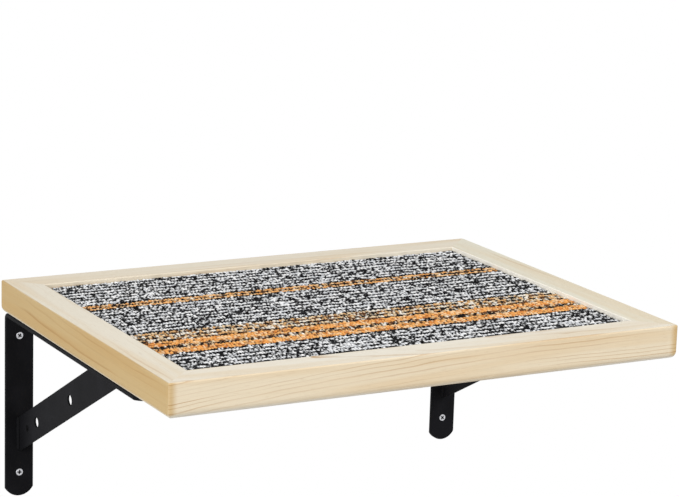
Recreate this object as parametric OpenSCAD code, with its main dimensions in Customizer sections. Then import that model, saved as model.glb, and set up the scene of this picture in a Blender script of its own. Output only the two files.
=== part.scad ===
// Wall shelf for a cat: a mitred pine frame with an inlaid carpet tile, on two steel brackets.
// Millimetres. The wall is the plane Y = 0, the shelf stands out towards -Y, and +Z is up.
// The origin is the middle of the four wall screws, on the wall.

/* [Board] */
// Width of the board along the wall
board_w = 400; // [300:5:600]
// Depth of the board from the wall to its front
board_d = 300; // [270:5:400]
// Thickness of the frame rails
board_t = 25; // [22:0.5:36]
// Width of each frame rail, seen from above
rail_w = 25; // [23:0.5:36]
// Radius of the eased top edges
top_round = 1; // [0.5:0.25:4]
// Radius of the round-over along the bottom edges
bottom_round = 6; // [1:0.5:7]
// Radius of the upright corners
corner_round = 2; // [1:0.5:5]
// Radius of the eased inner edges
inner_round = 0.8; // [0.3:0.1:1.5]
// Diameter of the dowel across each mitre
dowel_d = 6; // [4:0.5:8]
// Length of the dowel across each mitre
dowel_len = 20; // [14:1:24]

/* [Panel and carpet] */
// Thickness of the base panel
panel_t = 9; // [5:0.5:10]
// Depth of the groove in the rails that holds the panel
groove_depth = 6; // [4:0.5:7]
// Thickness of the carpet's backing
backing_t = 2; // [1:0.25:3]
// Height of the carpet's loop pile
pile_t = 4; // [2.5:0.25:5]
// How far the top of the pile lies below the top of the rails
carpet_recess = 1.5; // [0:0.25:3]
// Radius along the upper edges of the pile
pile_round = 1; // [0.5:0.25:2]

/* [Bracket] */
// Width of the steel strap
strap_w = 22; // [18:0.5:24]
// Thickness of the steel strap
strap_t = 3; // [2.5:0.25:4]
// Radius of the eased long edges of the strap and of the brace
bar_edge = 0.5; // [0.2:0.1:0.7]
// Inside radius of the strap's bend
bend_r = 2; // [1:0.25:4]
// Length of the leg under the board, from the wall to its tip
board_leg = 245; // [200:1:260]
// How far the strap's rounded ends stand out past their shoulders
end_rise = 6.7; // [4:0.1:8.5]
// Distance from the board's side to the strap's middle
bracket_inset = 14; // [12:0.5:16]
// Width of the diagonal brace bar
brace_w = 24; // [16:0.5:28]
// Thickness of the diagonal brace bar
brace_t = 1.5; // [1.5:0.25:4]
// Distance from the lower wall screw's axis up to the brace
brace_wall_gap = 16.5; // [10:0.5:26]
// Distance from the front board screw's axis back to the brace
brace_front_gap = 27.5; // [10:0.5:45]
// Diameter of the holes in the brace
brace_hole_d = 8; // [4:0.5:10]
// Distance along the brace from the wall leg to its first hole
brace_hole_first = 40.5; // [30:0.5:60]
// Distance between the holes in the brace
brace_hole_pitch = 73; // [40:1:85]
// Diameter of the small hole near the brace's lower end
brace_pin_hole_d = 5; // [2:0.5:6]
// Distance along the brace from the first hole back to the small hole
brace_pin_hole_gap = 20.5; // [10:0.5:22]
// Leg of the weld beads at the brace's ends
weld_leg = 2; // [1:0.25:3]

/* [Screws] */
// Distance between the upper and the lower wall screw
wall_screw_pitch = 107; // [90:1:150]
// Distance from the strap's bend, and from its lower end, to the nearest wall screw
wall_screw_inset = 18.5; // [15:0.5:24]
// Shank diameter of the wall screws
wall_screw_d = 3; // [2.5:0.25:4.5]
// Length of the wall screws with their heads
wall_screw_len = 20; // [16:1:70]
// Head diameter of the wall screws
wall_head_d = 5.5; // [5:0.25:7]
// Shank diameter of the board screws
board_screw_d = 3; // [2.5:0.25:4.5]
// Length of the board screws with their heads
board_screw_len = 16; // [12:0.5:20]
// Head diameter of the board screws
board_head_d = 5.5; // [5:0.25:7]
// Distance from the wall to the rear board screw
board_screw_rear = 36; // [30:1:60]
// Distance from the strap's tip to the front board screw
board_screw_front = 18.5; // [15:0.5:26]

/* [Hidden] */
$fn = 64;
// Extra reach of every cut past the face that it opens
overrun = 1;
// Radial clearance of a screw in the strap's hole
strap_hole_gap = 0.25;
// Radial clearance of a screw's head in its countersunk seat
seat_gap = 0.1;
// Height of the straight rim round a screw's head
head_rim = 0.3;
// Radial clearance of a screw or dowel in wood
wood_gap = 0.1;
// Clearance between the panel's edge and the bottom of its groove
panel_gap = 0.5;
// Clearance above the panel in its groove
groove_gap = 0.3;
// Clearance between the carpet and the rails
carpet_gap = 0.5;
// Clear depth past the tip of a board screw
pilot_gap = 0.5;

// Shares that shape a screw from its head and shank
recess_span_share = 0.56;
recess_width_share = 0.15;
recess_depth_share = 0.6;
tip_length_share = 1.4;
neck_share = 0.75;

mitre_angle = 45;
SIDES = [["left", -1], ["right", 1]];
ENDS = [["front", -1], ["rear", 1]];
LEVELS = [["upper", 1], ["lower", -1]];

// Heights: the strap's upper face carries the board
strap_top = wall_screw_pitch / 2 + wall_screw_inset;
strap_under = strap_top - strap_t;
wall_leg = wall_screw_pitch + 2 * wall_screw_inset;
wall_leg_end = strap_top - wall_leg;
panel_z = board_t - carpet_recess - pile_t - backing_t - panel_t;
panel_top = strap_top + panel_z + panel_t;
bracket_x = board_w / 2 - bracket_inset;

// The clear opening inside the frame
open_w = board_w - 2 * rail_w;
open_d = board_d - 2 * rail_w;
carpet_w = open_w - 2 * carpet_gap;
carpet_d = open_d - 2 * carpet_gap;

// Radius of the strap's ends, from its width and the rise of the arc
end_r = (pow(strap_w / 2, 2) + pow(end_rise, 2)) / (2 * end_rise);

// Places of the board screws, from the wall towards the front
front_screw_y = board_screw_front - board_leg;
rear_screw_y = -board_screw_rear;

// The brace's lower edge runs from the wall leg to the board leg
brace_low = [-strap_t, -wall_screw_pitch / 2 + brace_wall_gap];
brace_high = [front_screw_y + brace_front_gap, strap_under];
brace_angle = atan2(brace_high[1] - brace_low[1], brace_low[0] - brace_high[0]);
brace_wall_span = brace_w / cos(brace_angle);
brace_board_span = brace_w / sin(brace_angle);
brace_mid_low = brace_low[1] + brace_wall_span / 2;
brace_run = (strap_under - brace_mid_low) / sin(brace_angle);

// What lies outside a rounded corner at the origin, for a shape in the first quadrant
module corner_cut(r) {
    difference() {
        translate([-overrun, -overrun]) square(r + overrun);
        translate([r, r]) circle(r);
    }
}

// Cross-section of a rail: outer face at 0, inner face at rail_w, with the panel's groove
module rail_profile() {
    difference() {
        square([rail_w, board_t]);
        corner_cut(bottom_round);
        translate([0, board_t]) mirror([0, 1]) corner_cut(top_round);
        translate([rail_w, 0]) mirror([1, 0]) corner_cut(inner_round);
        translate([rail_w, board_t]) rotate(180) corner_cut(inner_round);
        translate([rail_w - groove_depth, panel_z])
            square([groove_depth + overrun, panel_t + groove_gap]);
    }
}

// A mitred rail along +X, outer face on Y = 0, with a blind dowel hole in each mitre
module rail(length) {
    far = length + overrun;
    inner = rail_w + overrun;
    mitred = [[-overrun, -overrun], [far, -overrun], [length - inner, inner], [inner, inner]];
    difference() {
        intersection() {
            rotate([90, 0, 90]) linear_extrude(length) rail_profile();
            translate([0, 0, -overrun]) linear_extrude(board_t + 2 * overrun) polygon(mitred);
        }
        corner_waste();
        translate([length, 0, 0]) mirror([1, 0, 0]) corner_waste();
        translate([rail_w / 2, rail_w / 2, board_t / 2]) dowel(-mitre_angle, wood_gap);
        translate([length - rail_w / 2, rail_w / 2, board_t / 2]) dowel(mitre_angle, wood_gap);
    }
}

// What lies outside a rounded upright corner: a block less the outer part of the rail's profile
// turned about the corner's axis
module corner_waste() {
    translate([corner_round, corner_round, 0]) difference() {
        translate([-corner_round - overrun, -corner_round - overrun, -overrun])
            cube([corner_round + overrun, corner_round + overrun, board_t + 2 * overrun]);
        rotate_extrude() intersection() {
            translate([corner_round, 0]) mirror([1, 0]) rail_profile();
            square([corner_round, board_t]);
        }
    }
}

// A dowel, or its hole when grown by a clearance, lying level at an angle to X
module dowel(angle, gap = 0) {
    rotate([0, 90, angle]) cylinder(d = dowel_d + 2 * gap, h = dowel_len + 2 * gap, center = true);
}

module end_rail(end) {
    color([0.89, 0.82, 0.70])
        translate([end * board_w / 2, end < 0 ? -board_d : 0, strap_top])
            rotate(end < 0 ? 0 : 180) rail(board_w);
}

module side_rail(side) {
    pilot = board_screw_len - strap_t + pilot_gap;
    color([0.87, 0.79, 0.65]) difference() {
        translate([side * board_w / 2, side < 0 ? 0 : -board_d, strap_top])
            rotate(side * 90) rail(board_d);
        for (y = [front_screw_y, rear_screw_y])
            translate([side * bracket_x, y, strap_top - overrun])
                cylinder(d = board_screw_d + 2 * wood_gap, h = pilot + overrun);
    }
}

module corner_dowel(end, side) {
    x = side * (board_w - rail_w) / 2;
    y = end < 0 ? rail_w / 2 - board_d : -rail_w / 2;
    color([0.80, 0.68, 0.50])
        translate([x, y, strap_top + board_t / 2]) dowel(-mitre_angle * side * end);
}

// A plate in the middle of the frame, with its lower face at a height
module inlay(width, depth, height, z) {
    translate([-width / 2, -(board_d + depth) / 2, z]) cube([width, depth, height]);
}

module base_panel() {
    lap = groove_depth - panel_gap;
    color([0.78, 0.66, 0.47]) inlay(open_w + 2 * lap, open_d + 2 * lap, panel_t, panel_top - panel_t);
}

module carpet_backing() {
    color([0.16, 0.16, 0.17]) inlay(carpet_w, carpet_d, backing_t, panel_top);
}

// Cross-section of the pile, with its upper edges rounded
module pile_profile(width) {
    difference() {
        translate([-width / 2, 0]) square([width, pile_t]);
        translate([-width / 2, pile_t]) mirror([0, 1]) corner_cut(pile_round);
        translate([width / 2, pile_t]) rotate(180) corner_cut(pile_round);
    }
}

module carpet_pile() {
    color([0.45, 0.44, 0.44])
        translate([0, -board_d / 2, panel_top + backing_t]) intersection() {
            rotate([90, 0, 0]) linear_extrude(open_d, center = true) pile_profile(carpet_w);
            rotate([90, 0, 90]) linear_extrude(open_w, center = true) pile_profile(carpet_d);
        }
}

// Cross-section of a flat bar with its edges eased
module bar_section(width, height) {
    difference() {
        square([width, height], center = true);
        for (x = [0, 1], y = [0, 1])
            mirror([x, 0]) mirror([0, y]) translate([-width / 2, -height / 2]) corner_cut(bar_edge);
    }
}

// The bent bar: the wall leg behind Y = 0, the bend, and the leg under the board
module bent_strap() {
    bend_y = -strap_t - bend_r;
    bend_z = strap_under - bend_r;
    translate([0, -strap_t / 2, wall_leg_end])
        linear_extrude(bend_z - wall_leg_end) bar_section(strap_w, strap_t);
    translate([0, bend_y, bend_z])
        rotate([90, 0, 90]) rotate_extrude(angle = 90)
            translate([bend_r + strap_t / 2, 0]) bar_section(strap_t, strap_w);
    translate([0, bend_y, strap_top - strap_t / 2])
        rotate([90, 0, 0]) linear_extrude(board_leg + bend_y) bar_section(strap_w, strap_t);
}

// What is cut from a strap's end, with its tip at the origin and the strap towards +Y
module end_cut() {
    difference() {
        translate([-strap_w / 2 - overrun, -overrun]) square([strap_w + 2 * overrun, end_rise + overrun]);
        translate([0, end_r]) circle(end_r);
    }
}

module bracket_strap(side) {
    depth = strap_t + 2 * overrun;
    color([0.10, 0.10, 0.11]) translate([side * bracket_x, 0, 0]) difference() {
        bent_strap();
        translate([0, overrun, wall_leg_end]) rotate([90, 0, 0]) linear_extrude(depth) end_cut();
        translate([0, -board_leg, strap_under - overrun]) linear_extrude(depth) end_cut();
        for (level = LEVELS)
            translate([0, -strap_t, level[1] * wall_screw_pitch / 2])
                rotate([-90, 0, 0]) screw_seat(wall_screw_d, wall_head_d);
        for (y = [front_screw_y, rear_screw_y])
            translate([0, y, strap_under]) screw_seat(board_screw_d, board_head_d);
    }
}

// A bar on edge from the wall leg to the board leg, cut to lie flat on both
module bracket_brace(side) {
    holes = [
        [brace_hole_first - brace_pin_hole_gap, brace_pin_hole_d],
        [brace_hole_first, brace_hole_d],
        [brace_hole_first + brace_hole_pitch, brace_hole_d]
    ];
    color([0.15, 0.15, 0.16]) translate([side * bracket_x, 0, 0]) intersection() {
        translate([0, brace_low[0], brace_mid_low]) rotate([-brace_angle, 0, 0]) difference() {
            translate([0, brace_board_span, 0]) rotate([90, 0, 0])
                linear_extrude(brace_run + 2 * brace_board_span) bar_section(brace_t, brace_w);
            for (hole = holes)
                translate([0, -hole[0], 0])
                    rotate([0, 90, 0]) cylinder(d = hole[1], h = brace_t + 2 * overrun, center = true);
        }
        translate([-brace_t, -board_leg, wall_leg_end])
            cube([2 * brace_t, board_leg - strap_t, wall_leg - strap_t]);
    }
}

// Cross-section of a weld bead in the corner at the origin
module bead_section() {
    intersection() {
        square(weld_leg);
        circle(weld_leg);
    }
}

// Beads on both faces of the brace, where it meets the wall leg and the board leg
module bracket_welds(side) {
    wall_skip = weld_leg * tan(brace_angle);
    board_skip = weld_leg / tan(brace_angle);
    color([0.13, 0.13, 0.14]) translate([side * bracket_x, 0, 0])
        for (face = [0, 1]) mirror([face, 0, 0]) {
            translate([brace_t / 2, brace_low[0], brace_low[1] + wall_skip])
                linear_extrude(brace_wall_span - wall_skip) mirror([0, 1]) bead_section();
            translate([brace_t / 2, brace_high[0] + brace_board_span, brace_high[1]])
                rotate([90, 0, 0])
                    linear_extrude(brace_board_span - board_skip) mirror([0, 1]) bead_section();
        }
}

// A countersunk hole through the strap, from the face that the screw's head is flush with
module screw_seat(d, head_d) {
    hole_r = d / 2 + strap_hole_gap;
    seat_r = head_d / 2 + seat_gap;
    rotate_extrude() polygon([
        [0, -overrun],
        [seat_r, -overrun],
        [seat_r, head_rim],
        [hole_r, head_rim + seat_r - hole_r],
        [hole_r, strap_t + overrun],
        [0, strap_t + overrun]
    ]);
}

// A countersunk screw with a cross recess: the head's flat face at Z = 0, then up along +Z a plain
// neck through the strap, the threaded shank at its outer diameter, and the tip
module screw(d, length, head_d) {
    neck_r = d * neck_share / 2;
    head_h = head_rim + head_d / 2 - neck_r;
    tip = d * tip_length_share;
    recess = [head_d * recess_span_share, head_d * recess_width_share, head_h * recess_depth_share];
    difference() {
        rotate_extrude() polygon([
            [0, 0],
            [head_d / 2, 0],
            [head_d / 2, head_rim],
            [neck_r, head_h],
            [neck_r, strap_t],
            [d / 2, strap_t],
            [d / 2, length - tip],
            [0, length]
        ]);
        for (turn = [0, 90])
            rotate(turn)
                translate([-recess[0] / 2, -recess[1] / 2, -overrun])
                    cube([recess[0], recess[1], recess[2] + overrun]);
    }
}

module wall_screw(level, side) {
    color([0.72, 0.72, 0.74])
        translate([side * bracket_x, -strap_t, level * wall_screw_pitch / 2])
            rotate([-90, 0, 0]) screw(wall_screw_d, wall_screw_len, wall_head_d);
}

module board_screw(end, side) {
    color([0.72, 0.72, 0.74])
        translate([side * bracket_x, end < 0 ? front_screw_y : rear_screw_y, strap_under])
            screw(board_screw_d, board_screw_len, board_head_d);
}

for (e = ENDS) end_rail(e[1]);
for (s = SIDES) side_rail(s[1]);
for (e = ENDS, s = SIDES)
    corner_dowel(e[1], s[1]);
base_panel();
carpet_backing();
carpet_pile();
for (s = SIDES) bracket_strap(s[1]);
for (s = SIDES) bracket_brace(s[1]);
for (s = SIDES) bracket_welds(s[1]);
for (l = LEVELS, s = SIDES)
    wall_screw(l[1], s[1]);
for (e = ENDS, s = SIDES)
    board_screw(e[1], s[1]);
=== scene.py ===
"""Looks of the cat wall shelf: pine frame, loop-pile carpet tile, black steel brackets, zinc screws.

Metres, in the frame of the solids: the wall is Y = 0, the shelf stands out towards -Y, +Z is up.
Colours are written as 8-bit display values.
"""

import math
from collections import namedtuple

import bmesh
import bpy
import numpy as np
from mathutils import Matrix, Vector


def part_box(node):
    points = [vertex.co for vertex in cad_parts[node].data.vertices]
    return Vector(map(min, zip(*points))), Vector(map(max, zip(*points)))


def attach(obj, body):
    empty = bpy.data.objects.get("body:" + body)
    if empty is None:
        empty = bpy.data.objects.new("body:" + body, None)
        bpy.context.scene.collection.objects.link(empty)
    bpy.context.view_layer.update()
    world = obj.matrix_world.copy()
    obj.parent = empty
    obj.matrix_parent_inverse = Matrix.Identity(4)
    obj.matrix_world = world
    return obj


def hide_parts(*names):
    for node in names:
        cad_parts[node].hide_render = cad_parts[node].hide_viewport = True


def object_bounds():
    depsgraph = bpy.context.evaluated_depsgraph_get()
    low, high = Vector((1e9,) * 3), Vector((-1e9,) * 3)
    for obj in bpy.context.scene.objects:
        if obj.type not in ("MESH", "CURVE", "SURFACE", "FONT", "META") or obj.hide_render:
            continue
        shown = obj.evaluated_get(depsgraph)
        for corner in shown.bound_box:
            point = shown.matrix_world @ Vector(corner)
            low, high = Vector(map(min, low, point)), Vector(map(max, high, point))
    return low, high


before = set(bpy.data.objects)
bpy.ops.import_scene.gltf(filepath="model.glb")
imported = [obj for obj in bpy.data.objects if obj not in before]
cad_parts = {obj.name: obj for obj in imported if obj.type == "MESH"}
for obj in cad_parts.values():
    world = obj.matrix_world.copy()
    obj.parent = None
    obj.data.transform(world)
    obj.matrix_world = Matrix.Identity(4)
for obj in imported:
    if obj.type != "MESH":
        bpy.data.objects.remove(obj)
cad_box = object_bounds()
cad_middle = (cad_box[0] + cad_box[1]) / 2

MM = 0.001
TURN = 2 * math.pi
UP = Vector((0, 0, 1))
TO_WALL = Vector((0, 1, 0))
BODY = "root"
SEED = 20

# Photograph: its width in pixels and the camera that took it
IMAGE_W = 679
FOCAL_PX = 2502.05
SENSOR_W_MM = 36.0
CAMERA_AT = Vector((-844.33, -1703.73, 542.67)) * MM
CAMERA_AZIMUTH = math.radians(28.627)
CAMERA_DOWN = math.radians(12.915)
CAMERA_ROLL = math.radians(1.806)

# Studio: the even light, each soft box's place, size and level, and the floor
AMBIENT = 0.42
LAMPS = {
    "key": ((1.0, -1.9, 1.5), 1.4, 0.50),
    "top": ((0.0, -0.3, 2.2), 1.6, 0.10),
    "left_fill": ((-2.0, -0.9, 0.7), 1.4, 0.60),
}
FLOOR_Z = -0.55
FLOOR_R = 0.75
FLOOR_SIDES = 128
FLOOR_GREY = (236, 236, 236)

# The span in which most values of a noise lie
NOISE = (0.25, 0.75)

# Pine: how finely each mark varies along the rail, inward and upward
WANDER_SCALES = (9.0, 30.0, 30.0)
PATCH_SCALES = (7.0, 45.0, 45.0)
STREAK_SCALES = (4.0, 60.0, 75.0)
FIBRE_SCALES = (45.0, 2200.0, 2200.0)
FLECK_SCALES = (120.0, 1500.0, 1500.0)

# Pine: the growth rings and the dark line late in each
RING_WANDER = 7.0 * MM
UNEVEN_SCALE = 70.0
UNEVEN_RINGS = 2.2
LATE_START_SHARE = 0.66
LATE_PEAK_SHARE = 0.94
PATCH_SPAN = (0.40, 0.60)
PATCH_FAINTEST = 0.12
LATE_GROOVE = -0.5
LATE_COLOUR = (190, 152, 106)

# Pine: soft streaks, dark flecks, and how far the face tints, the painted shade at the corners and the
# painted light on the inner edges reach
STREAK_SPAN = (0.42, 0.68)
STREAK_STRENGTH = 0.45
STREAK_COLOUR = (226, 203, 166)
FLECK_SPAN = (0.64, 0.72)
FLECK_STRENGTH = 0.16
FLECK_COLOUR = (176, 140, 98)
FACE_REACH = (0.8 * MM, 2.4 * MM)
FACE_WAVER = 1.2 * MM
CORNER_REACH = (7.0 * MM, 1.5 * MM)
INNER_REACH = (1.0 * MM, 0.1 * MM)

# Pine: how each rail was sawn from its log, its colours, and its painted shade and light
RAILS = {
    "front_rail": {
        "pith": (30 * MM, -75 * MM), "slope": 0.045, "bend": -0.16, "spacing": 2.9 * MM, "lines": 0.95,
        "pale": (238, 231, 216), "face_tone_and_shade": (252, 243, 228), "corner_shade": (230, 214, 184),
    },
    "rear_rail": {
        "pith": (50 * MM, 60 * MM), "slope": 0.02, "bend": 0.05, "spacing": 5.0 * MM, "lines": 0.60,
        "pale": (234, 225, 207),
    },
    "left_rail": {
        "pith": (45 * MM, 55 * MM), "slope": 0.015, "bend": 0.06, "spacing": 4.0 * MM, "lines": 0.60,
        "pale": (235, 227, 210), "face_tone_and_shade": (219, 197, 156),
    },
    "right_rail": {
        "pith": (40 * MM, -50 * MM), "slope": -0.02, "bend": 0.05, "spacing": 5.2 * MM, "lines": 0.55,
        "pale": (233, 228, 210), "inner_painted_light": (255, 250, 238),
    },
}

# Carpet: rows of yarn loops, in bands that are a piece each
ROWS = 65
LOOPS = 134
RINGS_PER_LOOP = 8
RINGS = LOOPS * RINGS_PER_LOOP + 1
SIDES_OF_YARN = 6
PLIES = 3
BANDS = 5
YARN_THICK = 0.62 * MM
YARN_WIDE = 1.65 * MM
PILE_DROP = 0.5 * MM
LOOP_LEAN_SHARE = 0.45
LOOP_HEIGHT_SPREAD = 0.14
LOOP_STRAY = 0.45 * MM
LOOP_TILT = 0.7 * MM
ROW_SWAY = 0.25 * MM
SWAY_PERIODS = (2.3, 5.1, 17.0, 61.0)
PLY_LOBE_SHARE = 0.10
PLY_TWIST = -0.3

# Carpet: how the dyes run along a yarn, counted in rings and runs, and the painted shade that darkens the
# yarn low between the loops
DYE_TWIST = 0.9
RUN_PAIR = 6
RUN_SPREAD = 0.6
SHARE_DRIFT = 0.15
SHARE_LIMITS = (0.05, 0.95)
DRIFT_RUNS = 14.0
PLY_STAGGER = 1
VALLEY_SHADE = 0.28
VALLEY_SHARES = (0.10, 0.70)

# Dyes of the yarn
BLACKS = [(7, 7, 9), (14, 14, 16), (34, 35, 38)]
WHITES = [(254, 254, 254), (246, 247, 248), (226, 228, 231)]
UMBERS = [(16, 15, 16), (34, 27, 23), (104, 68, 42)]
TANS = [(252, 244, 230), (242, 216, 178), (230, 182, 126)]
ORANGES = [(251, 188, 114), (247, 176, 99), (255, 215, 166)]
PEACHES = [(255, 214, 164), (250, 194, 130), (246, 178, 106)]
RUSTS = [(220, 136, 66), (184, 112, 58), (96, 62, 40)]

# Kinds of row: the share of light yarn, the light dyes and the dark ones
KINDS = {
    "dark_heather": (0.16, WHITES, BLACKS),
    "light_heather": (0.71, WHITES, BLACKS),
    "dark_tan": (0.24, TANS, UMBERS),
    "light_tan": (0.79, TANS, UMBERS),
    "mixed": (0.34, TANS, UMBERS),
    "orange": (0.82, ORANGES, RUSTS),
    "orange_line": (0.80, PEACHES, UMBERS),
}

# Stripes from the front to the back: a number of rows and the kinds that alternate in them
HEATHER = ("dark_heather", "light_heather")
STRIPES = [
    (13, HEATHER),
    (3, ("orange",)),
    (2, ("mixed",)),
    (3, ("orange",)),
    (6, ("dark_tan", "light_tan")),
    (19, HEATHER),
    (3, ("orange_line", "dark_tan")),
    (16, HEATHER),
]
ROW_KINDS = [kinds[i % len(kinds)] for count, kinds in STRIPES for i in range(count)]

# Carpet backing: the cells of its grid, its uneven cut and the pitch of its woven scrim
BACKING_COLUMNS = 70
BACKING_ROWS = 50
BACKING_UNEVEN = 0.15 * MM
SCRIM_PITCH = 1.6 * MM

# Welds: the width of the brace, then the bead's leg, ripples, blunt ends and slightly hollow face
BRACE_W = 24.0 * MM
WELD_LEG = 2.0 * MM
WELD_STEP = 0.2 * MM
WELD_ARC_POINTS = 7
WELD_RIPPLE = 1.4 * MM
WELD_RIPPLE_SHARE = 0.20
WELD_RIPPLE_POWER = 0.6
WELD_WAVER = 0.6
WELD_WAVER_LENGTH = 3 * WELD_RIPPLE
WELD_END_SHARE = 0.35
WELD_END_LENGTH = 1.2 * WELD_LEG
WELD_SAG_SHARE = 0.10

# Screws: shares of the shank's radius, and the half width of a thread's crest as a share of its pitch
STRAP_T = 3.0 * MM
SCREW_D = 3.0 * MM
SCREW_NECK_SHARE = 0.75
SCREW_CORE_SHARE = 0.66
SCREW_TIP_SHARE = 2.8
SCREW_POINT_SHARE = 0.02
SCREW_SIDES = 72
SCREW_SPIN = math.radians(40)
SHARP_EDGE = math.radians(40)
HEAD_RIM = 0.3 * MM
HEAD_BEVEL = 0.12 * MM
HEAD_RINGS = 32
THREAD_PITCH = 1.5 * MM
THREAD_HALF_SHARE = 0.24
RINGS_PER_THREAD = 10

# Cross recess: shares of the head's radius, then of the depth, half width and reach of an arm
RECESS_REACH_SHARE = 0.64
RECESS_HALF_SHARE = 0.19
RECESS_DEPTH_SHARE = 0.50
RECESS_FLOOR_SHARE = 0.45
RECESS_WALL_SHARE = 0.35
RECESS_END_SHARE = 0.15

Rail = namedtuple("Rail", "along inward up half_length width")


def linear(red, green, blue):
    """A display colour as linear light, by the curve of sRGB."""
    def channel(value):
        c = value / 255
        return c / 12.92 if c <= 0.04045 else ((c + 0.055) / 1.055) ** 2.4
    return channel(red), channel(green), channel(blue)


def clamp(value):
    return min(1.0, max(0.0, value))


def name_shift(name):
    """A number from a piece's name, so that no two rails have the same grain and no two screws one turn."""
    places, step = 97, 0.37
    return sum(ord(letter) * (i + 1) for i, letter in enumerate(name)) % places * step


class Graph:
    """A material and its nodes. Most calls add a node and give back its output."""

    def __init__(self, name, **values):
        self.material = bpy.data.materials.new(name)
        self.material.use_nodes = True
        self.tree = self.material.node_tree
        self.shader = self.tree.nodes["Principled BSDF"]
        for socket, value in values.items():
            self.set(self.shader, socket.replace("_", " "), value)

    def set(self, node, socket, value):
        target = node.inputs[socket]
        if isinstance(value, bpy.types.NodeSocket):
            self.tree.links.new(value, target)
        elif isinstance(value, tuple) and target.type == "RGBA":
            target.default_value = (*value, 1.0)
        else:
            target.default_value = value

    def node(self, kind, inputs=None, **settings):
        node = self.tree.nodes.new("ShaderNode" + kind)
        for key, value in settings.items():
            setattr(node, key, value)
        for socket, value in (inputs or {}).items():
            self.set(node, socket, value)
        return node

    def math(self, operation, *values):
        node = self.node("Math", dict(enumerate(values)), operation=operation)
        return node.outputs[0]

    def place(self):
        """X, Y and Z of the shaded point in the shared frame."""
        split = self.node("SeparateXYZ", {0: self.node("TexCoord").outputs["Object"]})
        return split.outputs

    def vector(self, x, y, z):
        return self.node("CombineXYZ", {0: x, 1: y, 2: z}).outputs[0]

    def noise(self, vector, scale=1.0, detail=2.0, roughness=0.5):
        inputs = {"Vector": vector, "Scale": scale, "Detail": detail, "Roughness": roughness}
        return self.node("TexNoise", inputs).outputs["Fac"]

    def streaks(self, vector, scales, detail, roughness=0.5):
        """Noise that is drawn out by a scale for each axis."""
        drawn = self.node("VectorMath", {0: vector, 1: scales}, operation="MULTIPLY").outputs[0]
        return self.noise(drawn, detail=detail, roughness=roughness)

    def span(self, value, low, high, to_low=0.0, to_high=1.0):
        """value taken smoothly from low..high to to_low..to_high, and held beyond."""
        inputs = {0: value, 1: low, 2: high, 3: to_low, 4: to_high}
        return self.node("MapRange", inputs, interpolation_type="SMOOTHSTEP").outputs[0]

    def mix(self, factor, first, second, blend="MIX"):
        inputs = {0: factor, 6: first, 7: second}
        node = self.node("Mix", inputs, data_type="RGBA", blend_type=blend)
        return node.outputs[2]

    def shade(self, colour, level):
        return self.mix(1.0, colour, self.vector(level, level, level), "MULTIPLY")

    def bump(self, height, strength, distance):
        node = self.node("Bump", {"Height": height, "Strength": strength, "Distance": distance})
        self.set(self.shader, "Normal", node.outputs[0])


def rail_axes(g, node):
    """Along a rail from its middle, in from its outer face, up from its underside, and its size."""
    low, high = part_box(node)
    run, across = (0, 1) if high.x - low.x > high.y - low.y else (1, 0)
    middle = (low + high) / 2
    outer = low if middle[across] < cad_middle[across] else high
    place = g.place()
    return Rail(
        along=g.math("SUBTRACT", place[run], middle[run]),
        inward=g.math("ABSOLUTE", g.math("SUBTRACT", place[across], outer[across])),
        up=g.math("SUBTRACT", place[2], low.z),
        half_length=(high[run] - low[run]) / 2,
        width=high[across] - low[across],
    )


def pith_distance(g, rail, pith, slope, bend):
    """Distance from the pith, which rises along the rail by a slope and a bend."""
    rise = g.math("MULTIPLY", rail.along, g.math("MULTIPLY_ADD", rail.along, bend, slope))
    off_pith = g.vector(
        g.math("SUBTRACT", rail.inward, pith[0]),
        g.math("SUBTRACT", g.math("SUBTRACT", rail.up, pith[1]), rise),
        0.0,
    )
    return g.node("VectorMath", {0: off_pith}, operation="LENGTH").outputs["Value"]


def late_wood(g, spot, phase):
    """The dark line late in each ring, of a strength of its own, and stronger in patches."""
    ring = g.math("FRACT", phase)
    number = g.math("FLOOR", phase)
    strength = g.node("TexWhiteNoise", {"W": number}, noise_dimensions="1D").outputs["Value"]
    darkening = g.span(ring, LATE_START_SHARE, LATE_PEAK_SHARE)
    ending = g.span(ring, LATE_PEAK_SHARE, 1.0, to_low=1.0, to_high=0.0)
    line = g.math("MULTIPLY", darkening, ending)
    patch = g.span(g.streaks(spot, PATCH_SCALES, detail=1.0), *PATCH_SPAN, to_low=PATCH_FAINTEST)
    return g.math("MULTIPLY", g.math("MULTIPLY", line, strength), patch)


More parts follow.
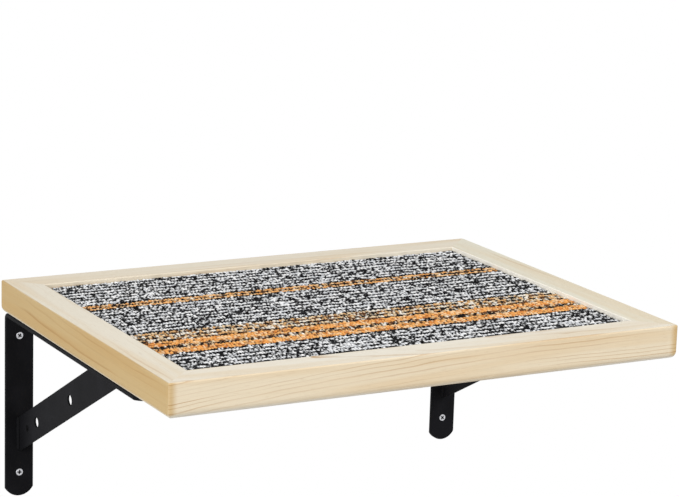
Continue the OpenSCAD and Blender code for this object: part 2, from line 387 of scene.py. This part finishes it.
def pine(
    node, pith, slope, bend, spacing, lines, pale,
    face_tone_and_shade=None, corner_shade=None, inner_painted_light=None,
):
    """Pale pine sawn along its rail: growth rings about a pith that lies outside the rail.

    pith is the pith's place, in from the outer face and up from the underside, at the rail's middle.
    slope and bend tilt and bow it along the rail, spacing is the ring width, and lines their strength.
    pale is the ground colour. face_tone_and_shade warms the outer face, partly as the wood's own tone and
    partly as painted shade on a face turned from the light, and corner_shade is painted shade at the ends
    of that face.
    inner_painted_light is painted light that makes the rail's edge at the carpet as pale as its top.
    """
    g = Graph("pine_" + node, Roughness=0.62, Specular_IOR_Level=0.12)
    rail = rail_axes(g, node)
    shift = name_shift(node)
    spot = g.vector(g.math("ADD", rail.along, shift), rail.inward, rail.up)

    wander = g.streaks(spot, WANDER_SCALES, detail=3.0)
    radius = g.math("MULTIPLY_ADD", wander, RING_WANDER, pith_distance(g, rail, pith, slope, bend))
    uneven = g.noise(g.vector(g.math("MULTIPLY", radius, UNEVEN_SCALE), shift, 0.0), detail=1.0)
    phase = g.math("MULTIPLY_ADD", uneven, UNEVEN_RINGS, g.math("DIVIDE", radius, spacing))
    late = late_wood(g, spot, phase)

    streak = g.span(g.streaks(spot, STREAK_SCALES, detail=2.0), *STREAK_SPAN)
    fibre = g.streaks(spot, FIBRE_SCALES, detail=3.0, roughness=0.65)
    fleck = g.span(g.streaks(spot, FLECK_SCALES, detail=1.0), *FLECK_SPAN)

    colour = g.mix(g.math("MULTIPLY", streak, STREAK_STRENGTH), linear(*pale), linear(*STREAK_COLOUR))
    colour = g.mix(g.math("MULTIPLY", late, lines), colour, linear(*LATE_COLOUR))
    # Outer face tint: partly the wood's own tone, partly painted shade where the face is turned from the
    # light.
    if face_tone_and_shade:
        edge = g.math("MULTIPLY_ADD", wander, FACE_WAVER, rail.inward)
        outer = g.span(edge, *FACE_REACH, to_low=1.0, to_high=0.0)
        colour = g.mix(outer, colour, linear(*face_tone_and_shade), "MULTIPLY")
        # Painted shade: the ends of the outer face darken towards the corners, as a rounder corner would
        # shade them.
        if corner_shade:
            off_middle = g.math("ABSOLUTE", rail.along)
            near_end = g.span(off_middle, *(rail.half_length - reach for reach in CORNER_REACH))
            corner = g.math("MULTIPLY", outer, near_end)
            colour = g.mix(corner, colour, linear(*corner_shade), "MULTIPLY")
    # Painted light: the inner edge at the carpet is painted as pale as the top, where it would lie in
    # shade.
    if inner_painted_light:
        painted_light_band = g.span(rail.inward, *(rail.width - reach for reach in INNER_REACH))
        colour = g.mix(painted_light_band, colour, linear(*inner_painted_light))
    colour = g.mix(g.math("MULTIPLY", fleck, FLECK_STRENGTH), colour, linear(*FLECK_COLOUR))
    grain = g.span(fibre, *NOISE, to_low=0.95, to_high=1.03)
    g.set(g.shader, "Base Color", g.shade(colour, grain))
    g.set(g.shader, "Roughness", g.span(fibre, 0.2, 0.8, to_low=0.56, to_high=0.70))
    g.bump(g.math("MULTIPLY_ADD", late, LATE_GROOVE, fibre), strength=0.25, distance=0.12 * MM)
    return g.material


def plain_wood(name, colour, dark, scales):
    """Sawn or peeled wood with long streaks, for the panel and the dowels."""
    bands, finer = 9.0, 20
    g = Graph(name, Roughness=0.6, Specular_IOR_Level=0.3)
    spot = g.vector(*g.place())
    swirl = g.streaks(spot, scales, detail=4.0, roughness=0.6)
    fibre = g.streaks(spot, tuple(finer * s for s in scales), detail=2.0)
    streak = g.math("FRACT", g.math("MULTIPLY", swirl, bands))
    tone = g.mix(g.span(streak, 0.3, 1.0, to_high=0.55), linear(*colour), linear(*dark))
    grain = g.span(fibre, *NOISE, to_low=0.90, to_high=1.05)
    g.set(g.shader, "Base Color", g.shade(tone, grain))
    g.bump(fibre, strength=0.3, distance=0.15 * MM)
    return g.material


def black_steel():
    """Satin black powder coat: a fine orange peel over a nearly black body."""
    dark, light = linear(22, 22, 24), linear(29, 29, 32)
    g = Graph("black_steel", Roughness=0.48, Specular_IOR_Level=0.02)
    spot = g.vector(*g.place())
    peel = g.noise(spot, scale=900.0, detail=2.0)
    grit = g.noise(spot, scale=4200.0, detail=1.0)
    cloud = g.span(g.noise(spot, scale=35.0, detail=3.0), 0.3, 0.7)
    g.set(g.shader, "Base Color", g.mix(cloud, dark, light))
    g.set(g.shader, "Roughness", g.span(grit, *NOISE, to_low=0.42, to_high=0.56))
    g.bump(g.math("MULTIPLY_ADD", grit, 0.35, peel), strength=0.35, distance=0.08 * MM)
    return g.material


def zinc():
    """Bright zinc plating with fine turning marks and a little haze, and painted shade that darkens the
    cross recess by its depth.
    """
    dull, bright, hollow = linear(184, 185, 190), linear(214, 214, 217), linear(30, 30, 33)
    g = Graph("zinc_screw", Metallic=1.0, Roughness=0.28)
    spot = g.vector(*g.place())
    haze = g.noise(spot, scale=700.0, detail=3.0)
    scratch = g.noise(spot, scale=5000.0, detail=2.0)
    tone = g.mix(g.span(haze, 0.3, 0.7), dull, bright)
    depth = g.node("Attribute", attribute_name="recess").outputs["Fac"]
    # Painted shade: the colour goes to near black with the depth of the cross recess, where shade falls.
    g.set(g.shader, "Base Color", g.mix(g.span(depth, 0.04, 0.4), tone, hollow))
    g.set(g.shader, "Roughness", g.span(scratch, *NOISE, to_low=0.20, to_high=0.38))
    g.bump(scratch, strength=0.15, distance=0.03 * MM)
    return g.material


def backing_rubber():
    """Dark tile backing with the print of its woven scrim."""
    dark, dusty = linear(30, 30, 32), linear(52, 51, 50)
    g = Graph("carpet_backing", Roughness=0.8, Specular_IOR_Level=0.3)
    x, y, z = g.place()
    warp, weft = (g.math("SINE", g.math("MULTIPLY", axis, TURN / SCRIM_PITCH)) for axis in (x, y))
    dust = g.noise(g.vector(x, y, z), scale=300.0, detail=3.0)
    g.set(g.shader, "Base Color", g.mix(dust, dark, dusty))
    g.bump(g.math("MAXIMUM", warp, weft), strength=0.4, distance=0.2 * MM)
    return g.material


def yarn_material():
    """Dyed staple yarn: the colour of each ply, with painted shade low between the loops, comes with the
    mesh, the fibres from a fine noise.
    """
    g = Graph("carpet_yarn", Roughness=0.92, Specular_IOR_Level=0.15)
    dye_and_valley_shade = g.node("Attribute", attribute_name="dye_and_valley_shade").outputs["Color"]
    fibre = g.noise(g.vector(*g.place()), scale=5200.0, detail=3.0, roughness=0.7)
    grain = g.span(fibre, *NOISE, to_low=0.82, to_high=1.16)
    g.set(g.shader, "Base Color", g.shade(dye_and_valley_shade, grain))
    g.bump(fibre, strength=0.6, distance=0.25 * MM)
    return g.material


def add_piece(name, mesh, material, slot, *nodes):
    """A modelled piece that stands for CAD nodes and rides on the shelf's one body."""
    mesh.materials.append(material)
    piece = bpy.data.objects.new(name, mesh)
    bpy.context.scene.collection.objects.link(piece)
    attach(piece, BODY)
    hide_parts(*nodes)
    return piece


def mesh_of(name, points, faces):
    """A smooth mesh."""
    mesh = bpy.data.meshes.new(name)
    mesh.from_pydata([tuple(p) for p in points], [], [tuple(f) for f in faces])
    mesh.validate()
    mesh.shade_smooth()
    return mesh


def yarn_dyes(rng, kind):
    """Linear colours along a yarn: light and dark runs in turn, about as long as the kind's shares."""
    share, lights, darks = kind
    dyes = np.array([linear(*c) for c in lights + darks])
    some_light = rng.integers(0, len(lights), RINGS)
    some_dark = rng.integers(len(lights), len(dyes), RINGS)
    run = np.arange(RINGS)
    is_light = run % 2 == 0
    drift = np.sin(run / DRIFT_RUNS + rng.uniform(0, TURN))
    share = np.clip(share + SHARE_DRIFT * drift, *SHARE_LIMITS)
    mean = RUN_PAIR * np.where(is_light, share, 1 - share)
    lengths = np.rint(mean * rng.uniform(1 - RUN_SPREAD, 1 + RUN_SPREAD, RINGS)).astype(int)
    runs = np.repeat(np.where(is_light, some_light, some_dark), np.maximum(1, lengths))
    first = rng.integers(0, RUN_PAIR)
    return dyes[runs[first:first + RINGS]]


def yarn_row(rng, row, low, high):
    """Points of one row of loops, a tube of twisted plies that rises and dips with each loop, and its dyes
    with painted shade low between the loops.
    """
    first_turn = rng.uniform(0, TURN)
    turn = first_turn + np.linspace(0, TURN * LOOPS, RINGS)
    pitch = (high.x - low.x - 2 * YARN_THICK) / LOOPS
    row_pitch = (high.y - low.y) / ROWS
    pile_h = high.z - PILE_DROP - low.z
    lean = LOOP_LEAN_SHARE * pitch / TURN

    spread = rng.uniform(-LOOP_HEIGHT_SPREAD, LOOP_HEIGHT_SPREAD, LOOPS + 2)
    stray_x, stray_y = rng.uniform(-LOOP_STRAY, LOOP_STRAY, (2, LOOPS + 2))
    loop = (turn / TURN).astype(int)
    half_rise = (pile_h - 2 * YARN_THICK) / 2 * (1 + spread[loop])
    crown = (1 - np.cos(turn)) / 2
    x = low.x + YARN_THICK + pitch * (turn - first_turn) / TURN - lean * np.sin(turn)
    x = np.clip(x + stray_x[loop] * crown, low.x, high.x)
    waves = [np.sin(turn / period + rng.uniform(0, TURN)) for period in SWAY_PERIODS]
    sway = ROW_SWAY * sum(waves) / len(waves)
    y = low.y + row_pitch * (row + 0.5) + sway + LOOP_TILT * np.sin(turn) + stray_y[loop] * crown
    y = np.clip(y, low.y + YARN_WIDE, high.y - YARN_WIDE)
    z = low.z + YARN_THICK / 2 + 2 * half_rise * crown

    dx = pitch / TURN - lean * np.cos(turn)
    dz = half_rise * np.sin(turn)
    size = np.hypot(dx, dz)
    middle = np.stack([x, y, z], axis=-1)[:, None]
    normal = np.stack([-dz / size, np.zeros(RINGS), dx / size], axis=-1)[:, None]
    sideways = np.array([0.0, 1.0, 0.0])

    side = np.arange(SIDES_OF_YARN)
    angle = TURN * side / SIDES_OF_YARN + PLY_TWIST * turn[:, None]
    lobe = 1 + PLY_LOBE_SHARE * (-1.0) ** side
    thick = (YARN_THICK * lobe * np.cos(angle))[..., None]
    wide = (YARN_WIDE * lobe * np.sin(angle))[..., None]
    points = middle + normal * thick + sideways * wide

    along = yarn_dyes(rng, KINDS[ROW_KINDS[row]])
    plies = np.stack([np.roll(along, k * PLY_STAGGER, axis=0) for k in range(PLIES)])
    twisted = (side / SIDES_OF_YARN + DYE_TWIST * turn[:, None] / TURN) % 1
    dyes = plies[(twisted * PLIES).astype(int), np.arange(RINGS)[:, None]]
    # Painted shade: the dyes darken towards the bottom of each loop and between the rows.
    height = (points[..., 2:] - low.z) / pile_h
    shade = np.interp(height, VALLEY_SHARES, (VALLEY_SHADE, 1))
    return points.reshape(-1, 3), (dyes * shade).reshape(-1, 3)


def tube_faces(rings, sides, start):
    """Quads round a tube of rings, with both ends closed."""
    ring = np.arange(rings - 1)[:, None] * sides
    side = np.arange(sides)[None, :]
    after = (side + 1) % sides
    quads = np.stack([ring + side, ring + sides + side, ring + sides + after, ring + after], axis=-1)
    faces = (quads.reshape(-1, 4) + start).tolist()
    first = [start + k for k in range(sides)]
    last = [start + (rings - 1) * sides + k for k in reversed(range(sides))]
    return faces + [first, last]


def carpet_pile():
    """The looped face of the tile, in bands of rows."""
    low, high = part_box("carpet_pile")
    rng = np.random.default_rng(SEED)
    material = yarn_material()
    pieces = []
    for band in range(BANDS):
        points, dyes, faces = [], [], []
        for row in range(band * ROWS // BANDS, (band + 1) * ROWS // BANDS):
            row_points, row_dyes_and_shade = yarn_row(rng, row, low, high)
            faces += tube_faces(RINGS, SIDES_OF_YARN, len(points) * len(row_points))
            points.append(row_points)
            dyes.append(row_dyes_and_shade)
        mesh = mesh_of(f"carpet_loops_{band + 1}", np.concatenate(points).tolist(), faces)
        # The dyes here carry the painted shade between the loops.
        colour = np.concatenate(dyes)
        alpha = np.ones((len(colour), 1))
        layer = mesh.attributes.new("dye_and_valley_shade", "FLOAT_COLOR", "POINT")
        layer.data.foreach_set("color", np.hstack([colour, alpha]).astype(np.float32).ravel())
        pieces.append(add_piece(mesh.name, mesh, material, "carpet_pile", "carpet_pile"))
    return pieces


def backing_grid(mesh, low, high, z, rng):
    """Rows of vertices at one height, with those on the rim drawn in by the uneven cut."""
    columns, rows = BACKING_COLUMNS, BACKING_ROWS
    grid = []
    for j in range(rows + 1):
        line = []
        for i in range(columns + 1):
            on_rim = i in (0, columns) or j in (0, rows)
            inset = rng.uniform(0, BACKING_UNEVEN) if on_rim else 0.0
            x = low.x + (high.x - low.x) * i / columns
            y = low.y + (high.y - low.y) * j / rows
            x += inset if i == 0 else -inset if i == columns else 0.0
            y += inset if j == 0 else -inset if j == rows else 0.0
            line.append(mesh.verts.new((x, y, z)))
        grid.append(line)
    return grid


def carpet_backing(pile):
    """The tile's stiff backing, cut to size with a slightly uneven edge."""
    low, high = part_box("carpet_backing")
    columns, rows = BACKING_COLUMNS, BACKING_ROWS
    rng = np.random.default_rng(SEED + 1)
    mesh = bmesh.new()
    lower, upper = [backing_grid(mesh, low, high, z, rng) for z in (low.z, high.z)]
    for j in range(rows):
        for i in range(columns):
            corners = ((j, i), (j, i + 1), (j + 1, i + 1), (j + 1, i))
            mesh.faces.new([upper[r][c] for r, c in corners])
            mesh.faces.new([lower[r][c] for r, c in reversed(corners)])
    rim = [(0, i) for i in range(columns)] + [(j, columns) for j in range(rows)]
    rim += [(rows, i) for i in range(columns, 0, -1)] + [(j, 0) for j in range(rows, 0, -1)]
    for (j, i), (k, m) in zip(rim, rim[1:] + rim[:1]):
        mesh.faces.new((lower[j][i], lower[k][m], upper[k][m], upper[j][i]))
    data = bpy.data.meshes.new("carpet_tile_backing")
    mesh.to_mesh(data)
    mesh.free()
    piece = add_piece(data.name, data, backing_rubber(), "carpet_backing", "carpet_backing")


def recess_depth(x, y, head_r):
    """Depth of the cross recess: two arms with sloping floors and slightly sloping walls."""
    reach = RECESS_REACH_SHARE * head_r
    half = RECESS_HALF_SHARE * head_r
    depth = 0.0
    for along, across in ((abs(x), abs(y)), (abs(y), abs(x))):
        floor = RECESS_DEPTH_SHARE * head_r * (1 - RECESS_FLOOR_SHARE * min(1.0, along / reach))
        wall = clamp((half - across) / (RECESS_WALL_SHARE * half))
        end = clamp((reach - along) / (RECESS_END_SHARE * reach))
        depth = max(depth, floor * min(wall, end))
    return depth


def screw_rings(head_r, length):
    """Rings of points of a countersunk screw along +Z, from the head's face to the tip."""
    outer_r = SCREW_D / 2
    neck_r, core_r = SCREW_NECK_SHARE * outer_r, SCREW_CORE_SHARE * outer_r
    head_h = HEAD_RIM + head_r - neck_r
    tip = SCREW_TIP_SHARE * outer_r
    angles = [TURN * k / SCREW_SIDES for k in range(SCREW_SIDES)]
    rings = []
    for i in range(1, HEAD_RINGS + 1):
        radius = (head_r - HEAD_BEVEL) * i / HEAD_RINGS
        spots = [(radius * math.cos(a), radius * math.sin(a)) for a in angles]
        rings.append([(x, y, recess_depth(x, y, head_r)) for x, y in spots])
    for radius, z in ((head_r, HEAD_BEVEL), (head_r, HEAD_RIM), (neck_r, head_h)):
        rings.append([(radius * math.cos(a), radius * math.sin(a), z) for a in angles])
    levels = int((length - head_h) / THREAD_PITCH * RINGS_PER_THREAD)
    for i in range(1, levels + 1):
        z = head_h + (length - head_h) * i / levels
        taper = min(1.0, (length - z) / tip + SCREW_POINT_SHARE)
        start = clamp((z - STRAP_T) / THREAD_PITCH)
        base = neck_r + (core_r - neck_r) * start
        ring = []
        for a in angles:
            off_crest = abs((z / THREAD_PITCH - a / TURN) % 1.0 - 0.5)
            ridge = max(0.0, 1 - off_crest / THREAD_HALF_SHARE) * start
            radius = (base + (outer_r - base) * ridge) * taper
            ring.append((radius * math.cos(a), radius * math.sin(a), z))
        rings.append(ring)
    return rings


def screw_mesh(name, head_r, length):
    """One closed surface from the middle of the head's face to the tip, with the depth of its recess marked
    for the painted shade there.
    """
    rings = screw_rings(head_r, length)
    deepest = recess_depth(0, 0, head_r)
    points = [(0.0, 0.0, deepest)] + [p for ring in rings for p in ring] + [(0.0, 0.0, length)]
    sides = [(k, (k + 1) % SCREW_SIDES) for k in range(SCREW_SIDES)]
    faces = [(0, 1 + m, 1 + k) for k, m in sides]
    for i in range(len(rings) - 1):
        a, b = 1 + i * SCREW_SIDES, 1 + (i + 1) * SCREW_SIDES
        faces += [(a + k, a + m, b + m, b + k) for k, m in sides]
    last = 1 + (len(rings) - 1) * SCREW_SIDES
    faces += [(last + k, last + m, len(points) - 1) for k, m in sides]
    mesh = mesh_of(name, points, faces)
    on_face = 1 + HEAD_RINGS * SCREW_SIDES
    depth = [p[2] / deepest if i < on_face else 0.0 for i, p in enumerate(points)]
    mesh.attributes.new("recess", "FLOAT", "POINT").data.foreach_set("value", depth)
    return mesh


def screws():
    """Wall screws along +Y and board screws along +Z, flush in the straps."""
    material = zinc()
    for node in sorted(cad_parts):
        if not node.endswith("_screw"):
            continue
        low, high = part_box(node)
        wall = node.endswith("wall_screw")
        length = high.y - low.y if wall else high.z - low.z
        mid = (low + high) / 2
        face = Vector((mid.x, low.y, mid.z)) if wall else Vector((mid.x, mid.y, low.z))
        spin = Matrix.Rotation(name_shift(node) * SCREW_SPIN, 4, "Z")
        turn = Matrix.Rotation(math.radians(-90 if wall else 0), 4, "X")
        mesh = screw_mesh(node + "_threaded", (high.x - low.x) / 2, length)
        mesh.transform(Matrix.Translation(face) @ turn @ spin)
        mesh.set_sharp_from_angle(angle=SHARP_EDGE)
        add_piece(mesh.name, mesh, material, "zinc_screw", node)


def weld_bead(start, along, out_a, out_b, length, rng):
    """Points and faces of a rippled bead in a corner, along the joint between out_a and out_b."""
    count = int(length / WELD_STEP)
    waver, _ = rng.uniform(0, TURN, 2)
    points = []
    for i in range(count + 1):
        s = length * i / count
        uneven = WELD_WAVER * math.sin(s / WELD_WAVER_LENGTH + waver)
        ripple = abs(math.sin(math.pi * s / WELD_RIPPLE + uneven)) ** WELD_RIPPLE_POWER
        end = min(1.0, WELD_END_SHARE + min(s, length - s) / WELD_END_LENGTH)
        size = WELD_LEG * end * (1 - WELD_RIPPLE_SHARE + WELD_RIPPLE_SHARE * ripple)
        centre = start + along * s
        points.append(centre)
        for k in range(WELD_ARC_POINTS):
            a = math.pi / 2 * k / (WELD_ARC_POINTS - 1)
            sag = 1 - WELD_SAG_SHARE * math.sin(2 * a)
            points.append(centre + (out_a * math.cos(a) + out_b * math.sin(a)) * size * sag)
    ring = WELD_ARC_POINTS + 1
    faces = []
    for i in range(count):
        a, b = i * ring, (i + 1) * ring
        for k in range(ring):
            m = (k + 1) % ring
            faces.append((a + k, a + m, b + m, b + k))
    faces.append(tuple(reversed(range(ring))))
    faces.append(tuple(count * ring + k for k in range(ring)))
    return points, faces


def welds(material):
    """Four beads on each bracket, on both faces of the brace at the wall leg and the board leg."""
    rng = np.random.default_rng(SEED + 2)
    for side in ("left", "right"):
        low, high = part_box(side + "_bracket_brace")
        angle = math.atan2(high.z - low.z, high.y - low.y)
        wall_span, board_span = BRACE_W / math.cos(angle), BRACE_W / math.sin(angle)
        wall_skip, board_skip = WELD_LEG * math.tan(angle), WELD_LEG / math.tan(angle)
        points, faces = [], []
        for x, way in ((low.x, -1), (high.x, 1)):
            out = Vector((way, 0, 0))
            at_wall = Vector((x, high.y, low.z + wall_skip))
            at_board = Vector((x, low.y + board_skip, high.z))
            runs = [
                (at_wall, UP, -TO_WALL, wall_span - wall_skip),
                (at_board, TO_WALL, -UP, board_span - board_skip),
            ]
            for start, along, away, length in runs:
                bead_points, bead_faces = weld_bead(start, along, out, away, length, rng)
                faces += [tuple(len(points) + k for k in f) for f in bead_faces]
                points += bead_points
        mesh = mesh_of(side + "_weld_beads", points, faces)
        outward = bmesh.new()
        outward.from_mesh(mesh)
        bmesh.ops.recalc_face_normals(outward, faces=outward.faces)
        outward.to_mesh(mesh)
        outward.free()
        add_piece(mesh.name, mesh, material, "black_steel", side + "_bracket_welds")


def dress(node, material):
    """Give a CAD node its finish."""
    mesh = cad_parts[node].data
    mesh.materials.clear()
    mesh.materials.append(material)


def dress_frame(steel):
    """Finishes of the rails, dowels, panel and brackets, whose solids are kept as they are."""
    for node, log in RAILS.items():
        dress(node, pine(node, **log))
    beech = plain_wood(
        "dowel_beech", colour=(214, 184, 140), dark=(186, 150, 106), scales=(60.0, 60.0, 400.0)
    )
    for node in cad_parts:
        if node.endswith("_dowel"):
            dress(node, beech)
    plywood = plain_wood(
        "plywood", colour=(222, 198, 156), dark=(192, 158, 112), scales=(6.0, 38.0, 38.0)
    )
    dress("base_panel", plywood)
    for side in ("left", "right"):
        dress(side + "_bracket_strap", steel)
        dress(side + "_bracket_brace", steel)


def camera():
    """The photograph's camera."""
    ahead = Vector((
        math.sin(CAMERA_AZIMUTH) * math.cos(CAMERA_DOWN),
        math.cos(CAMERA_AZIMUTH) * math.cos(CAMERA_DOWN),
        -math.sin(CAMERA_DOWN),
    ))
    level_right = Vector((math.cos(CAMERA_AZIMUTH), -math.sin(CAMERA_AZIMUTH), 0))
    level_up = level_right.cross(ahead)
    right = math.cos(CAMERA_ROLL) * level_right + math.sin(CAMERA_ROLL) * level_up
    up = math.cos(CAMERA_ROLL) * level_up - math.sin(CAMERA_ROLL) * level_right
    data = bpy.data.cameras.new("camera")
    data.sensor_fit = "HORIZONTAL"
    data.sensor_width = SENSOR_W_MM
    data.lens = FOCAL_PX * SENSOR_W_MM / IMAGE_W
    eye = bpy.data.objects.new("camera", data)
    turn = Matrix((right, up, -ahead)).transposed().to_4x4()
    eye.matrix_world = Matrix.Translation(CAMERA_AT) @ turn
    bpy.context.scene.collection.objects.link(eye)
    bpy.context.scene.camera = eye


def surroundings():
    """Even white light on the shelf, and plain white where the camera, metal or glass looks past it."""
    world = bpy.data.worlds.new("studio")
    bpy.context.scene.world = world
    world.use_nodes = True
    tree = world.node_tree
    tree.nodes.clear()

    def add(kind, *sources, **settings):
        node = tree.nodes.new("ShaderNode" + kind)
        for key, value in settings.items():
            setattr(node, key, value)
        for socket, source in enumerate(sources):
            tree.links.new(source, node.inputs[socket])
        return node

    rays = add("LightPath").outputs
    either = add("Math", rays["Is Camera Ray"], rays["Is Glossy Ray"], operation="MAXIMUM")
    any_ray = add("Math", either.outputs[0], rays["Is Transmission Ray"], operation="MAXIMUM")
    fill, seen = add("Background"), add("Background")
    for shade, strength in ((fill, AMBIENT), (seen, 1.0)):
        shade.inputs["Color"].default_value = (1, 1, 1, 1)
        shade.inputs["Strength"].default_value = strength
    blend = add("MixShader", any_ray.outputs[0], fill.outputs[0], seen.outputs[0])
    add("OutputWorld", blend.outputs[0])


def lamp(name, place, size, level):
    """A square soft box aimed at the shelf. level is what it adds to a white surface that faces it."""
    way = cad_middle - Vector(place)
    data = bpy.data.lights.new(name, "AREA")
    data.size = size
    data.energy = level * math.pi**2 * way.length_squared
    box = bpy.data.objects.new(name, data)
    box.location = place
    box.rotation_euler = way.to_track_quat("-Z", "Y").to_euler()
    bpy.context.scene.collection.objects.link(box)


def floor():
    """A pale round floor well below the shelf."""
    disc = bmesh.new()
    bmesh.ops.create_circle(disc, cap_ends=True, segments=FLOOR_SIDES, radius=FLOOR_R)
    mesh = bpy.data.meshes.new("floor")
    disc.to_mesh(mesh)
    disc.free()
    paint = Graph("floor", Base_Color=linear(*FLOOR_GREY), Roughness=0.9, Specular_IOR_Level=0.1)
    mesh.materials.append(paint.material)
    ground = bpy.data.objects.new("floor", mesh)
    ground.location = (0, cad_middle.y, FLOOR_Z)
    bpy.context.scene.collection.objects.link(ground)


def studio():
    """White surroundings, soft boxes and a floor."""
    bpy.context.scene.view_settings.view_transform = "Standard"
    surroundings()
    for name, (place, size, level) in LAMPS.items():
        lamp(name, place, size, level)
    floor()


camera()
studio()
steel = black_steel()
dress_frame(steel)
carpet_backing(carpet_pile())
screws()
welds(steel)
